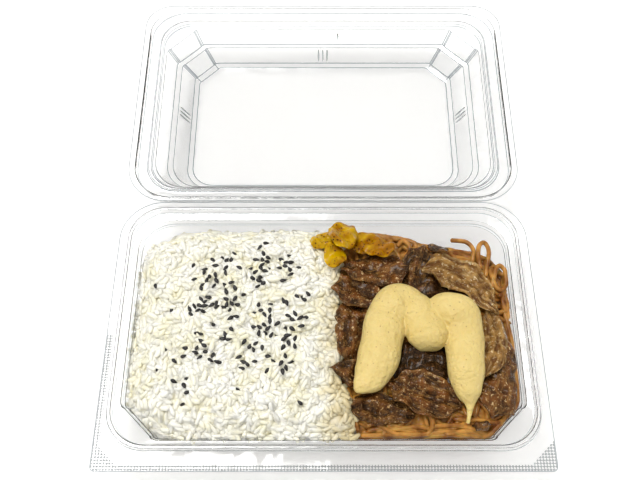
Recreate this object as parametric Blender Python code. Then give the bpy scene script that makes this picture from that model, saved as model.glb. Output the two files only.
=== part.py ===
"""A hinged clear food box, open, filled with rice, noodles, beef, pickles and sauce.

The frame is in metres with +Z up. The origin lies under the middle of the tray,
on the plane that the tray stands on. The hinge runs along X at the back, and the
open lid lies behind it. Sizes below are in millimetres and MM turns them into metres.
"""
import math

import bmesh
import bpy
import numpy as np
from mathutils import Vector
from mathutils.bvhtree import BVHTree

MM = 0.001

# Box: one thin sheet, formed into a tray and a lid
HALF_WIDTH = 106.0
HALF_DEPTH = 71.7              # hinge line and front edge, from the middle of the tray
TRAY_HEIGHT = 26.0             # top of the flange
SHEET = 0.5                    # wall thickness
HINGE_HEIGHT = TRAY_HEIGHT + 0.2
HINGE_SLOT = 0.3               # each half stops this far from the hinge line
LID_LENGTH = 137.0             # from the hinge line to the lid's far edge
LID_RISE = math.radians(2.0)   # the open lid's far edge is held up a little

# Well of the tray: it narrows downwards, and its front corners are cut off
WELL_HALF = 95.4
WELL_FRONT = -57.1
WELL_REAR = 60.0
WELL_CHAMFER = 17.5
CORNER_ALONG = (0.0, 0.12, 0.88, 1.16)   # shares of a cut corner's size where it bends
WELL_STEPS = ((0.5, 8.0), (3.5, 6.0), (22.6, 1.5), (23.0, 0.5), (25.6, 0.0))  # height, inset

# Food
GAP = 0.4                      # air between pieces that touch
EDGE = 3.6                     # the heaps' upper edges stay this far inside the well's edge
CELL = 1.0                     # pitch of the height field that pieces are laid on
REACH = 4                      # cells that a soft piece bridges when it is laid down
RICE_TOP = 29.6
NOODLE_TOP = 25.6
REAR_SLOPE = 0.12              # how far the noodles' free rear face leans back, per height
BEEF = 2.6                     # thickness of a beef slice
STRAND = 9.4                   # radius of the piped sauce
FLATTEN = 0.72                 # the sauce has sagged to this share of its round height


# ---- meshes and materials -------------------------------------------------

def material(name, colour, roughness, clear=0.0):
    made = bpy.data.materials.new(name)
    made.use_nodes = True
    shader = made.node_tree.nodes["Principled BSDF"]
    shader.inputs["Base Color"].default_value = (*colour, 1.0)
    shader.inputs["Roughness"].default_value = roughness
    shader.inputs["Metallic"].default_value = 0.0
    shader.inputs["Transmission Weight"].default_value = clear
    made.diffuse_color = (*colour, 1.0)
    return made


def mesh_object(name, points, faces, surface):
    """A smooth-shaded object from points in millimetres, its faces pointing out."""
    mesh = bpy.data.meshes.new(name)
    mesh.from_pydata([Vector(point) * MM for point in points], [], faces)
    shape = bmesh.new()
    shape.from_mesh(mesh)
    bmesh.ops.recalc_face_normals(shape, faces=shape.faces)
    shape.to_mesh(mesh)
    shape.free()
    mesh.shade_smooth()
    mesh.set_sharp_from_angle(angle=math.radians(40))
    mesh.materials.append(surface)
    made = bpy.data.objects.new(name, mesh)
    bpy.context.collection.objects.link(made)
    return made


def smooth_route(knots, count):
    """Points at even parameters on a curve through the knots (any dimension)."""
    knots = [np.array(knot, float) for knot in knots]
    ends = [2 * knots[0] - knots[1]] + knots + [2 * knots[-1] - knots[-2]]
    route = []
    for place in np.linspace(0, len(knots) - 1, count):
        span = min(int(place), len(knots) - 2)
        t = place - span
        a, b, c, d = ends[span:span + 4]
        route.append(0.5 * (2 * b + (c - a) * t + (2 * a - 5 * b + 4 * c - d) * t ** 2
                            + (3 * b - a - 3 * c + d) * t ** 3))
    return route


def lumps(x, y, length, seed):
    """Smooth unevenness between about -1 and 1, with the given wave length."""
    total = 0.0
    for wave in range(4):
        angle = seed * 1.7 + wave * 2.4
        along = x * math.cos(angle) + y * math.sin(angle)
        total += math.sin(2 * math.pi * along / (length * (0.8 + 0.17 * wave)) + seed + wave * 1.9)
    return total / 2.4


# ---- the formed sheet -----------------------------------------------------

def outline(half, front, rear, corner_front, corner_rear, cut=0):
    """Points round a rectangle with arcs for corners, or at one end cut off at 45 degrees."""
    points = []
    corners = ((half, front, corner_front, 1, -1), (half, rear, corner_rear, 1, 1),
               (-half, rear, corner_rear, -1, 1), (-half, front, corner_front, -1, -1))
    for x, y, size, side, end in corners:
        if end == cut:
            start, eased, ease_end, stop = (share * size for share in CORNER_ALONG)
            steps = [(start, stop), (eased, ease_end), (size / 2, size / 2),
                     (ease_end, eased), (stop, start)]
        else:
            turns = [math.radians(22.5) * step for step in range(5)]
            steps = [(size * (1 - math.cos(turn)), size * (1 - math.sin(turn))) for turn in turns]
        corner = [(x - side * dx, y - end * dy) for dx, dy in steps]
        points += corner if side == end else corner[::-1]
    return points


def formed_sheet(name, levels, surface, lift=0.0):
    """A pan from outlines at given heights, outside to inside, made SHEET thick."""
    points, faces = [], []
    for height, shape in levels:
        points += [(x, y, height + lift) for x, y in shape]
    count = len(levels[0][1])
    for level in range(len(levels) - 1):
        for step in range(count):
            after = (step + 1) % count
            a, b = level * count, (level + 1) * count
            faces.append((a + step, a + after, b + after, b + step))
    faces.append(tuple(range((len(levels) - 1) * count, len(levels) * count)))
    pan = mesh_object(name, points, faces, surface)
    if pan.data.polygons[-1].normal.z < 0:
        pan.data.flip_normals()
    solid = pan.modifiers.new("Sheet", 'SOLIDIFY')
    solid.thickness = SHEET * MM
    solid.offset = -1.0
    solid.use_even_offset = True
    return pan


def well_outline(inset):
    return outline(WELL_HALF - inset, WELL_FRONT + inset, WELL_REAR - inset,
                   WELL_CHAMFER - 0.586 * inset, WELL_CHAMFER - 0.586 * inset, cut=-1)


def make_tray(surface):
    levels = [(TRAY_HEIGHT, outline(HALF_WIDTH, -HALF_DEPTH, HALF_DEPTH - HINGE_SLOT, 2.5, 22)),
              (TRAY_HEIGHT, outline(101.4, -62.2, 67.4, 19, 19)),
              (28.4, outline(100.9, -61.7, 66.9, 18.5, 18.5)),
              (28.4, outline(99.2, -60.0, 65.2, 17.5, 17.5)),
              (25.6, outline(98.6, -59.4, 64.6, 17, 17))]
    levels += [(height, well_outline(inset)) for height, inset in reversed(WELL_STEPS)]
    return formed_sheet("tray", levels, surface)


def make_lid(surface):
    """The lid in its own frame: origin on the hinge line, far edge at +Y, dome below."""
    def ring(half, near, far, corner, cut=0):
        return outline(half, near, far, corner, corner, cut)

    levels = [(0.0, outline(HALF_WIDTH, HINGE_SLOT, LID_LENGTH, 22, 16)),
              (0.0, ring(102.5, 3.2, 135.0, 20)),
              (-4.0, ring(101.8, 3.8, 134.4, 19.5)),
              (-4.0, ring(96.8, 8.6, 128.6, 17)),
              (-3.0, ring(96.2, 9.2, 128.0, 17)),
              (-3.0, ring(94.6, 10.2, 125.4, 16)),
              (-4.0, ring(94.0, 10.6, 124.6, 16)),
              (-4.0, ring(92.5, 11.4, 122.0, 17, cut=1)),
              (-12.6, ring(87.5, 15.2, 117.8, 15.5, cut=1)),
              (-13.4, ring(84.4, 17.4, 115.8, 14.5, cut=1)),
              (-25.0, ring(78.2, 23.4, 113.4, 12.5, cut=1)),
              (-26.4, ring(75.5, 26.0, 111.0, 12, cut=1))]
    return formed_sheet("lid", levels, surface, lift=TRAY_HEIGHT - HINGE_HEIGHT)


# ---- heaps that fill the well ---------------------------------------------

def wall_inset(height):
    heights, insets = zip(*WELL_STEPS)
    return float(np.interp(height, heights, insets))


def wall_x(y, inset):
    """Half width of the well at a given depth, with its cut and eased corners."""
    cut = WELL_CHAMFER - 0.586 * inset
    nearest = min(y - WELL_FRONT, WELL_REAR - y) - inset
    corner = np.interp(nearest / cut, CORNER_ALONG, CORNER_ALONG[::-1]) * cut
    return WELL_HALF - inset - float(corner)


def border(y):
    """Where the rice ends and the noodles begin."""
    return float(np.interp(y, (-57, -42, -28, -10, 20, 60), (15.5, 13.5, 8.0, 6.5, 7.0, 9.0)))


def heap(name, left, right, top, columns, rows, surface, rear=None):
    """A heap in the well between two sides given at every depth, and its top.

    It reaches the rear wall, or as far back as rear says for each share of its width.
    """
    levels = [(height, wall_inset(height) + GAP) for height in (0.9, 4.0, 13.0)] + [(None, EDGE)]
    points, index = [], {}
    for level, (height, inset) in enumerate(levels):
        for row in range(rows + 1):
            for column in range(columns + 1):
                inside = 0 < row < rows and 0 < column < columns
                if height is not None and inside:
                    continue
                end = WELL_REAR - inset
                if rear:
                    lean = REAR_SLOPE * (NOODLE_TOP - (height or NOODLE_TOP))
                    end = min(end, rear(column / columns) + lean)
                y = WELL_FRONT + inset + (end - WELL_FRONT - inset) * row / rows
                start, stop = left(y, inset), right(y, inset)
                x = start + (stop - start) * column / columns
                index[level, row, column] = len(points)
                points.append((x, y, top(x, y) if height is None else height))
    rim = ([(0, column) for column in range(columns)] + [(row, columns) for row in range(rows)]
           + [(rows, column) for column in range(columns, 0, -1)]
           + [(row, 0) for row in range(rows, 0, -1)])
    faces = [tuple(index[0, row, column] for row, column in rim)]
    for level in range(len(levels) - 1):
        for (row, column), (row_b, column_b) in zip(rim, rim[1:] + rim[:1]):
            faces.append((index[level, row, column], index[level, row_b, column_b],
                          index[level + 1, row_b, column_b], index[level + 1, row, column]))
    last = len(levels) - 1
    for row in range(rows):
        for column in range(columns):
            faces.append((index[last, row, column], index[last, row, column + 1],
                          index[last, row + 1, column + 1], index[last, row + 1, column]))
    return mesh_object(name, points, faces, surface)


def shoulder(x, y, edges, crown, fall):
    """Height that starts at an edge value by each wall and rises to the crown."""
    front, side, rear = edges
    height = crown
    gaps = ((y - WELL_FRONT - EDGE, front), (wall_x(y, EDGE) - abs(x), side),
            (WELL_REAR - EDGE - y, rear))
    for distance, edge in gaps:
        ease = math.exp(-(max(distance, 0.0) / fall) ** 1.3)
        height -= (crown - edge) * ease
    return max(height, min(edges) - 3.0)


def rice_top(x, y):
    crown = RICE_TOP + 0.9 * lumps(x, y, 31, 1) + 0.6 * lumps(x, y, 13, 5)
    crown -= 1.6 * max(0.0, (y - 30) / 25) + 1.2 * max(0.0, (x + 12) / 25)
    return shoulder(x, y, (23.2, 20.5, 18.5), crown, 6.5)


def noodle_top(x, y):
    crown = NOODLE_TOP + 0.5 * lumps(x, y, 24, 2) + 0.4 * lumps(x, y, 9, 7)
    return shoulder(x, y, (23.0, 22.0, 19.5), crown, 5.0)


def noodle_rear(share):
    """How far back the noodles reach, from the rice side to the right wall."""
    return float(np.interp(share, (0, 0.28, 0.5, 0.76, 0.87, 1), (55, 53, 46, 42, 38, 28)))


# ---- pieces laid on the heaps ---------------------------------------------

class Pile:
    """Height of everything laid so far, on a grid over the well."""

    def __init__(self):
        self.columns = int(2 * WELL_HALF / CELL) + 1
        self.rows = int((WELL_REAR - WELL_FRONT) / CELL) + 1
        self.height = np.zeros((self.rows, self.columns))
        self.soft = self.height

    def add(self, piece):
        tree = BVHTree.FromObject(piece, bpy.context.evaluated_depsgraph_get())
        for row in range(self.rows):
            for column in range(self.columns):
                x, y = -WELL_HALF + column * CELL, WELL_FRONT + row * CELL
                hit = tree.ray_cast(Vector((x, y, 90)) * MM, Vector((0, 0, -1)))[0]
                if hit:
                    self.height[row, column] = max(self.height[row, column], hit.z / MM)
        self.soft = self._window(self._window(self.height, np.max), np.mean)

    def _window(self, field, pick):
        padded = np.pad(field, REACH, mode='edge')
        span = 2 * REACH + 1
        views = [padded[row:row + self.rows, column:column + self.columns]
                 for row in range(span) for column in range(span)]
        return pick(views, axis=0)

    def support(self, x, y):
        """Height that a soft piece keeps above: high spots widened, then evened out."""
        column = min(max((x + WELL_HALF) / CELL, 0.0), self.columns - 1.001)
        row = min(max((y - WELL_FRONT) / CELL, 0.0), self.rows - 1.001)
        c, r = int(column), int(row)
        u, v = column - c, row - r
        field = self.soft
        return float((field[r, c] * (1 - u) + field[r, c + 1] * u) * (1 - v)
                     + (field[r + 1, c] * (1 - u) + field[r + 1, c + 1] * u) * v)


def beef_slice(name, pile, route, widths, surface, ripple=0.8, waves=2.0, curl=0.6, phase=0.0):
    """A limp slice along a route, its width given at each knot, laid on the pile."""
    length = sum(math.dist(a, b) for a, b in zip(route, route[1:]))
    stations = max(5, round(length / 3.6))
    columns = max(3, round(max(widths) / 3.2))
    knots = [(x, y, width) for (x, y), width in zip(route, widths)]
    line = smooth_route(knots, stations + 1)
    top, under = [], []
    for station, (x, y, width) in enumerate(line):
        before, after = line[max(station - 1, 0)], line[min(station + 1, stations)]
        ahead = Vector((after[0] - before[0], after[1] - before[1])).normalized()
        share = station / stations
        half = 0.5 * width * (1 + 0.1 * math.sin(9 * share + phase))
        middle = pile.support(x, y)
        for column in range(columns + 1):
            across = 2 * column / columns - 1
            px, py = x - ahead.y * half * across, y + ahead.x * half * across
            wave = 0.5 + 0.5 * math.sin(2 * math.pi * waves * share + phase + 1.8 * across)
            low = max(pile.support(px, py), middle - 2.5) + GAP + ripple * wave
            low += curl * across ** 4
            thick = BEEF * (1 - 0.55 * across ** 4)
            under.append((px, py, low))
            top.append((px, py, low + thick))
    points = top + under
    wide, count = columns + 1, len(top)
    faces = []
    for station in range(stations):
        for column in range(columns):
            a = station * wide + column
            face = (a, a + 1, a + wide + 1, a + wide)
            faces += [face, tuple(count + corner for corner in reversed(face))]
    rim = (list(range(wide)) + [row * wide + columns for row in range(1, stations + 1)]
           + [stations * wide + column for column in range(columns - 1, -1, -1)]
           + [row * wide for row in range(stations - 1, 0, -1)])
    for a, b in zip(rim, rim[1:] + rim[:1]):
        faces.append((a, b, count + b, count + a))
    made = mesh_object(name, points, faces, surface)
    pile.add(made)
    return made


def pickle_chunk(name, pile, place, size, turn, surface, seed):
    """A limp lump of chopped pickle whose underside follows what it lies on."""
    x0, y0 = place
    ball = bmesh.new()
    bmesh.ops.create_icosphere(ball, subdivisions=2, radius=1.0)
    middle = pile.support(x0, y0)
    cos, sin = math.cos(math.radians(turn)), math.sin(math.radians(turn))
    for vert in ball.verts:
        x, y, z = vert.co
        swell = 1 + 0.22 * lumps(x + z, y - z, 1.6, seed)
        x, y = x * size[0] / 2 * swell, y * size[1] / 2 * swell
        px, py = x0 + x * cos - y * sin, y0 + x * sin + y * cos
        low = max(pile.support(px, py), middle - 1.0) + GAP
        rise = size[2] * (0.5 + 0.5 * z) * (0.85 + 0.3 * (swell - 1) / 0.22)
        vert.co = (px, py, low + max(rise, 0.0))
    points = [vert.co[:] for vert in ball.verts]
    faces = [tuple(vert.index for vert in face.verts) for face in ball.faces]
    ball.free()
    made = mesh_object(name, points, faces, surface)
    pile.add(made)
    return made


def strand(knots, stations, sides=14):
    """Rings of a round strand through knots of x, y, z and radius, sagged to an oval."""
    line = smooth_route(knots, stations)
    rings = []
    for station, (x, y, z, radius) in enumerate(line):
        before, after = line[max(station - 1, 0)], line[min(station + 1, stations - 1)]
        ahead = Vector((after[0] - before[0], after[1] - before[1])).normalized()
        ring = []
        for side in range(sides):
            angle = 2 * math.pi * side / sides
            out, up = radius * math.cos(angle), radius * math.sin(angle) * FLATTEN
            ring.append((x - ahead.y * out, y + ahead.x * out, z + up))
        rings.append(ring)
    return rings


def make_sauce(pile, surface):
    """Piped sauce: two long legs and a short middle fold, run together, tail last."""
    full = STRAND
    left_leg = ((16.4, -37.4, 1.6), (18.4, -35.6, 5.2), (21.2, -30.4, 8.8),
                (25.4, -20.5, 1.08 * full), (28.0, -8.5, 1.08 * full),
                (31.0, 2.2, 1.06 * full), (37.0, 9.4, 1.02 * full), (43.0, 7.6, 0.88 * full),
                (45.8, 3.0, 0.5 * full))
    fold = ((38.0, 10.0, 0.5 * full), (42.4, 9.0, 0.9 * full), (46.6, 3.4, full),
            (49.0, -3.4, 1.06 * full), (50.2, -8.6, full), (50.6, -13.4, 0.7 * full),
            (50.8, -16.6, 0.3 * full))
    right_leg = ((51.0, -3.0, 0.5 * full), (54.0, 2.2, 0.86 * full), (60.0, 4.6, 0.94 * full),
                 (65.4, 2.6, full), (67.2, -6.0, full), (67.0, -18.0, 0.97 * full),
                 (67.0, -29.5, 0.86 * full), (67.6, -37.0, 0.6 * full), (68.0, -41.6, 0.26 * full),
                 (67.4, -46.0, 1.5), (66.4, -50.2, 1.3))
    points, faces = [], []
    for knots, stations in ((left_leg, 22), (fold, 14), (right_leg, 26)):
        seated = [(x, y, pile.support(x, y) + GAP + 0.62 * FLATTEN * radius, radius)
                  for x, y, radius in knots]
        rings = strand(seated, stations)
        start, sides = len(points), len(rings[0])
        for ring in rings:
            points += [(x, y, max(z, pile.support(x, y) + GAP)) for x, y, z in ring]
        for station in range(stations - 1):
            for side in range(sides):
                after = (side + 1) % sides
                a, b = start + station * sides, start + (station + 1) * sides
                faces.append((a + side, a + after, b + after, b + side))
        faces += [tuple(range(start, start + sides)), tuple(range(len(points) - sides, len(points)))]
    body = mesh_object("sauce", points, faces, surface)
    merge = body.modifiers.new("Run together", 'REMESH')
    merge.mode = 'VOXEL'
    merge.voxel_size = 0.7 * MM
    thin = body.modifiers.new("Fewer faces", 'DECIMATE')
    thin.ratio = 0.036
    return body


# ---- build ----------------------------------------------------------------

for item in list(bpy.data.objects):
    bpy.data.objects.remove(item)

clear_sheet = material("clear_sheet", (0.93, 0.95, 0.96), 0.05, clear=0.9)
rice_white = material("cooked_rice", (0.84, 0.82, 0.74), 0.45)
noodle_tan = material("fried_noodles", (0.66, 0.36, 0.13), 0.35)
beef_brown = material("braised_beef", (0.20, 0.09, 0.035), 0.30)
pickle_yellow = material("yellow_pickle", (0.73, 0.40, 0.015), 0.25)
sauce_cream = material("mayonnaise", (0.93, 0.70, 0.30), 0.30)

make_tray(clear_sheet)
hinge = bpy.data.objects.new("lid_hinge", None)
bpy.context.collection.objects.link(hinge)
hinge.location = Vector((0, HALF_DEPTH, HINGE_HEIGHT)) * MM
hinge.rotation_euler.x = LID_RISE
make_lid(clear_sheet).parent = hinge

rice = heap("rice", lambda y, inset: -wall_x(y, inset), lambda y, inset: border(y) - GAP,
            rice_top, 24, 26, rice_white)
noodles = heap("noodles", lambda y, inset: border(y), wall_x, noodle_top, 18, 20, noodle_tan,
               noodle_rear)

pile = Pile()
pile.add(rice)
pile.add(noodles)

# name, route, widths, ripple, waves, curl; in the order in which they lie
SLICES = (
    ("beef_right_flat", ((88, -9), (83.5, -27), (77, -44.5)), (7, 15, 17), 0.5, 1.5, 0.3),
    ("beef_rear_middle", ((50, 40.5), (47, 28), (48, 15)), (15, 15, 13), 0.6, 2.0, 0.6),
    ("beef_middle", ((31, -16), (48, -20.5), (66, -22)), (15, 18, 16), 0.6, 1.5, 0.3),
    ("beef_left_upper", ((6.5, 3.5), (22, 3)), (10, 12), 0.5, 1.0, 0.3),
    ("beef_left_middle", ((13.5, -1), (13.5, -10), (12, -20)), (13, 14, 11), 0.8, 2.0, 0.5),
    ("beef_left_lower", ((4.5, -24), (10, -25), (18, -27)), (3, 8, 13), 0.5, 1.0, 0.4),
    ("beef_rear_left", ((6, 20), (17, 17), (31, 13)), (14, 18, 13), 0.8, 2.0, 0.6),
    ("beef_rear_fold", ((12, 29), (26, 28.5), (42, 31)), (8, 18, 18), 0.8, 2.5, 0.7),
    ("beef_front_left", ((13, -45), (25, -41.5), (41, -45.5)), (8, 15, 8), 0.9, 2.5, 0.6),
    ("beef_under_arch", ((49, 14), (62, 13), (75, 7)), (14, 14, 10), 0.5, 1.5, 0.3),
    ("beef_right_strip", ((79, 4), (82.5, -6), (80.5, -16), (75.5, -27)), (8, 11, 11, 6),
     0.9, 3.5, 0.6),
    ("beef_arch", ((51, 29), (59, 28.5), (68, 25), (75, 18), (79.5, 11), (84.5, 5)),
     (11, 19, 19, 15, 11, 7), 0.9, 4.0, 0.7),
    ("beef_front_wide", ((32.5, -29), (46, -35.5), (64, -39.5)), (15, 18, 11), 0.8, 4.0, 0.6),
    ("beef_chip", ((53.5, 41.5), (63, 40)), (6, 5), 0.3, 1.0, 0.2),
    ("beef_curl", ((69.5, -51), (77, -50)), (4, 3.5), 0.4, 1.0, 0.3),
)
for order, (name, route, widths, ripple, waves, curl) in enumerate(SLICES):
    beef_slice(name, pile, route, widths, beef_brown, ripple, waves, curl, phase=1.3 * order)

# name, place, size, turn
CHUNKS = (
    ("pickle_left", (-0.5, 44.5), (12, 9, 5), 0),
    ("pickle_front", (6, 34.5), (9, 13, 4.5), 20),
    ("pickle_right", (25.5, 42.5), (20, 13, 5), -8),
    ("pickle_middle", (10.5, 45), (14, 15, 5.5), 10),
)
for seed, (name, place, size, turn) in enumerate(CHUNKS):
    pickle_chunk(name, pile, place, size, turn, pickle_yellow, seed)

make_sauce(pile, sauce_cream)
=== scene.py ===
import math

import bmesh
import bpy
import numpy as np
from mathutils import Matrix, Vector
from mathutils.bvhtree import BVHTree


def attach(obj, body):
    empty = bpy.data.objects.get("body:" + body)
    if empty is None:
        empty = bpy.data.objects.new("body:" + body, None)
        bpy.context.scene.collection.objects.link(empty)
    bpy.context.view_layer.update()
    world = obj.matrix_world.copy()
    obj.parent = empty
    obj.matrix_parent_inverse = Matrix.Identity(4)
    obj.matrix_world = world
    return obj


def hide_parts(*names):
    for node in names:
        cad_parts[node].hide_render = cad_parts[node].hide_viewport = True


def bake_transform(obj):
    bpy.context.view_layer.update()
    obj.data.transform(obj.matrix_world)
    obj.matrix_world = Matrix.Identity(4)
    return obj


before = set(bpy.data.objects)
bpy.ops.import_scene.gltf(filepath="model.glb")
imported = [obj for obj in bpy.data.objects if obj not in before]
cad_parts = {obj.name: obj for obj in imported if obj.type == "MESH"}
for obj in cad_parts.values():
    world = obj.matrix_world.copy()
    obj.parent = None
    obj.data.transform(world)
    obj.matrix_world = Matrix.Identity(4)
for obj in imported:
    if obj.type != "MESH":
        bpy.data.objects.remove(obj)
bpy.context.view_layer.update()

bpy.ops.object.select_all(action='DESELECT')
MM = 0.001                                      # sizes below are in millimetres


# ---- Table top, light and camera ------------------------------------------
# The meal stands on a plain white sweep in a soft dome: bright overhead and dimmer at the sides,
# so clear walls show edges. One soft box, high on the left, gives wet food its glints.

def add_node(tree, kind, settings=None, inputs=None):
    """Adds a node with its settings, and values or links for its inputs; a node given as an
    input stands for its first output."""
    made = tree.nodes.new(kind)
    for key, value in (settings or {}).items():
        setattr(made, key, value)
    for socket, value in (inputs or {}).items():
        if isinstance(value, bpy.types.Node):
            value = value.outputs[0]
        if isinstance(value, bpy.types.NodeSocket):
            tree.links.new(value, made.inputs[socket])
        else:
            made.inputs[socket].default_value = value
    return made


def tone(code):
    """An sRGB hex colour as linear values."""
    parts = [int(code[place:place + 2], 16) / 255 for place in (1, 3, 5)]
    return (*[part / 12.92 if part <= 0.04045 else ((part + 0.055) / 1.055) ** 2.4
              for part in parts], 1.0)


def new_finish(name, colour, roughness, **fixed):
    """A new shader with its even values set on its own sockets."""
    made = bpy.data.materials.new(name)
    made.use_nodes = True
    shader = made.node_tree.nodes["Principled BSDF"]
    shader.inputs["Base Color"].default_value = tone(colour)
    shader.inputs["Roughness"].default_value = roughness
    for socket, value in fixed.items():
        shader.inputs[socket.replace("_", " ")].default_value = value
    return made, made.node_tree, shader


def coat_with(tree, shader, colour, height, distance, strength):
    """Gives a shader its pattern of colour and a fine relief from a height pattern."""
    relief = add_node(tree, 'ShaderNodeBump', inputs={"Height": height, "Distance": distance,
                                                      "Strength": strength})
    tree.links.new(colour, shader.inputs["Base Color"])
    tree.links.new(relief.outputs[0], shader.inputs["Normal"])


def own_millimetres(tree):
    """A place on the piece, in millimetres, for patterns that have a real size."""
    own = add_node(tree, 'ShaderNodeTexCoord')
    return add_node(tree, 'ShaderNodeVectorMath', {'operation': 'SCALE'},
                    {0: own.outputs["Object"], "Scale": 1 / MM})


LOOKING_DOWN = 60.6                             # degrees below the horizon
bpy.ops.object.camera_add(location=(-1.7 * MM, -168.6 * MM, 410.6 * MM),
                          rotation=(math.radians(90 - LOOKING_DOWN), 0, 0))
camera = bpy.context.object
camera.data.lens = 47.8
camera.data.sensor_width = 36
camera.data.clip_start = 0.01
bpy.context.scene.camera = camera

sky = bpy.data.worlds.new("soft_dome")
sky.use_nodes = True
bpy.context.scene.world = sky
way = add_node(sky.node_tree, 'ShaderNodeTexCoord')
split = add_node(sky.node_tree, 'ShaderNodeSeparateXYZ', inputs={0: way.outputs["Generated"]})
dome = add_node(sky.node_tree, 'ShaderNodeMapRange', {'interpolation_type': 'SMOOTHSTEP'},
                {0: split.outputs["Z"], 1: -0.05, 2: 0.80, 3: 0.34, 4: 0.84})
toward = add_node(sky.node_tree, 'ShaderNodeVectorMath', {'operation': 'DOT_PRODUCT'},
                  {0: way.outputs["Generated"], 1: Vector((-0.30, 0.14, 1.0)).normalized()})
soft_box = add_node(sky.node_tree, 'ShaderNodeMapRange', {'interpolation_type': 'SMOOTHSTEP'},
                    {0: toward.outputs["Value"], 1: 0.950, 2: 0.982, 3: 0.0, 4: 9.0})
level = add_node(sky.node_tree, 'ShaderNodeMath', {'operation': 'ADD'}, {0: dome, 1: soft_box})
sky_shader = sky.node_tree.nodes["Background"]
sky_shader.inputs["Color"].default_value = tone("#FFFEFC")
sky.node_tree.links.new(level.outputs[0], sky_shader.inputs["Strength"])

bpy.ops.mesh.primitive_plane_add(size=14, location=(0, 0, -0.0004))
floor = bpy.context.object
floor.name = "white_sweep"
# Matt paper, lit from below as well until it is an even white with faint shadows.
paper, tree, shader = new_finish("white_paper_sweep", "#F7F7F6", 0.85,
                                 Emission_Strength=0.24)
shader.inputs["Emission Color"].default_value = tone("#FFFFFF")
floor.data.materials.append(paper)
bpy.context.scene.view_settings.view_transform = 'Standard'


# ---- Clear tray and lid ---------------------------------------------------
# Oriented polystyrene sheet, heat-formed in one pull over a mould: a deep tray with cut corners
# and a shallow domed lid, joined by a flattened strip of the same sheet that works as a hinge.

HALF_WIDTH, HALF_DEPTH, TRAY_HEIGHT, SHEET = 106.0, 71.7, 26.0, 0.45
WELL_HALF, WELL_FRONT, WELL_REAR, WELL_CHAMFER = 95.4, -57.1, 60.0, 17.5
CHAMFER_LOSS = 0.586                            # how much a cut corner loses per mm of inset
WELL_STEPS = ((0.5, 8.0), (3.5, 6.0), (22.6, 1.5), (23.0, 0.5), (25.6, 0.0))  # height, inset
CORNER_ALONG = (0.0, 0.12, 0.88, 1.16)          # a cut corner's ends and eased turns
CORNER_POINTS, EASED = 13, 0.34


def outline(half, front, rear, corner_front, corner_rear, cut=0):
    """A ring of points round a rectangle; its corners at one end may be cut off and eased."""
    points = []
    for x, y, size, side, end in ((half, front, corner_front, 1, -1),
                                  (half, rear, corner_rear, 1, 1),
                                  (-half, rear, corner_rear, -1, 1),
                                  (-half, front, corner_front, -1, -1)):
        _, eased, far_eased, far = [part * size for part in CORNER_ALONG]
        steps = []
        for step in range(CORNER_POINTS):
            share = step / (CORNER_POINTS - 1)
            if end != cut:
                turn = math.radians(90) * share
                steps.append((size * (1 - math.cos(turn)), size * (1 - math.sin(turn))))
            elif EASED <= share <= 1 - EASED:
                drift = (far_eased - eased) * (share - EASED) / (1 - 2 * EASED)
                steps.append((eased + drift, far_eased - drift))
            else:
                t = min(share, 1 - share) / EASED
                eased_turn = (eased * t * t, far - (far - far_eased) * t * (2 - t))
                steps.append(eased_turn if share < EASED else eased_turn[::-1])
        corner = [(x - side * dx, y - end * dy) for dx, dy in steps]
        points += corner if side == end else corner[::-1]
    return points


FOLD, CUT = 1, 2                                # places of the finishes after the clear one


def form_sheet(name, levels, finishes, place=lambda x, y, z: (x, y, z)):
    """Pulls a ring of sheet down through its levels, closes the floor and gives it thickness."""
    bpy.ops.mesh.primitive_circle_add(vertices=4 * CORNER_POINTS, radius=0.1)
    pan = bpy.context.object
    pan.name = name
    for surface in finishes:
        pan.data.materials.append(surface)
    bpy.ops.object.mode_set(mode='EDIT')
    for step, (height, shape) in enumerate(levels):
        if step:
            bpy.ops.mesh.extrude_edges_move()
        shell = bmesh.from_edit_mesh(pan.data)
        fresh = sorted((vert for vert in shell.verts if vert.select), key=lambda vert: vert.index)
        for vert, (x, y) in zip(fresh, shape):
            vert.co = Vector(place(x, y, height)) * MM
        bmesh.update_edit_mesh(pan.data)
    bpy.ops.mesh.edge_face_add()
    bpy.ops.mesh.select_all(action='SELECT')
    bpy.ops.mesh.normals_make_consistent(inside=False)
    bpy.ops.object.mode_set(mode='OBJECT')
    cut_strip = 2 * 4 * CORNER_POINTS               # vertices of the first two rings
    for face in pan.data.polygons:
        if max(face.vertices) < cut_strip:
            face.material_index = CUT
    if max(pan.data.polygons, key=lambda face: face.area).normal.z < 0:
        pan.data.flip_normals()
    ease = pan.modifiers.new("Formed radii", 'BEVEL')
    ease.width, ease.segments, ease.limit_method = 0.55 * MM, 2, 'ANGLE'
    ease.angle_limit = math.radians(14)
    ease.use_clamp_overlap, ease.material = True, FOLD
    wall = pan.modifiers.new("Sheet", 'SOLIDIFY')
    wall.thickness, wall.offset, wall.use_even_offset = SHEET * MM, -1.0, True
    wall.material_offset_rim = CUT
    for change in list(pan.modifiers):
        bpy.ops.object.modifier_apply(modifier=change.name)
    bpy.ops.object.shade_smooth_by_angle(angle=math.radians(50))
    bpy.ops.object.select_all(action='DESELECT')
    return pan


def well_outline(inset):
    """The well's ring of wall, so far in from its top edge."""
    cut = WELL_CHAMFER - CHAMFER_LOSS * inset
    return outline(WELL_HALF - inset, WELL_FRONT + inset, WELL_REAR - inset, cut, cut, cut=-1)


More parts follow.
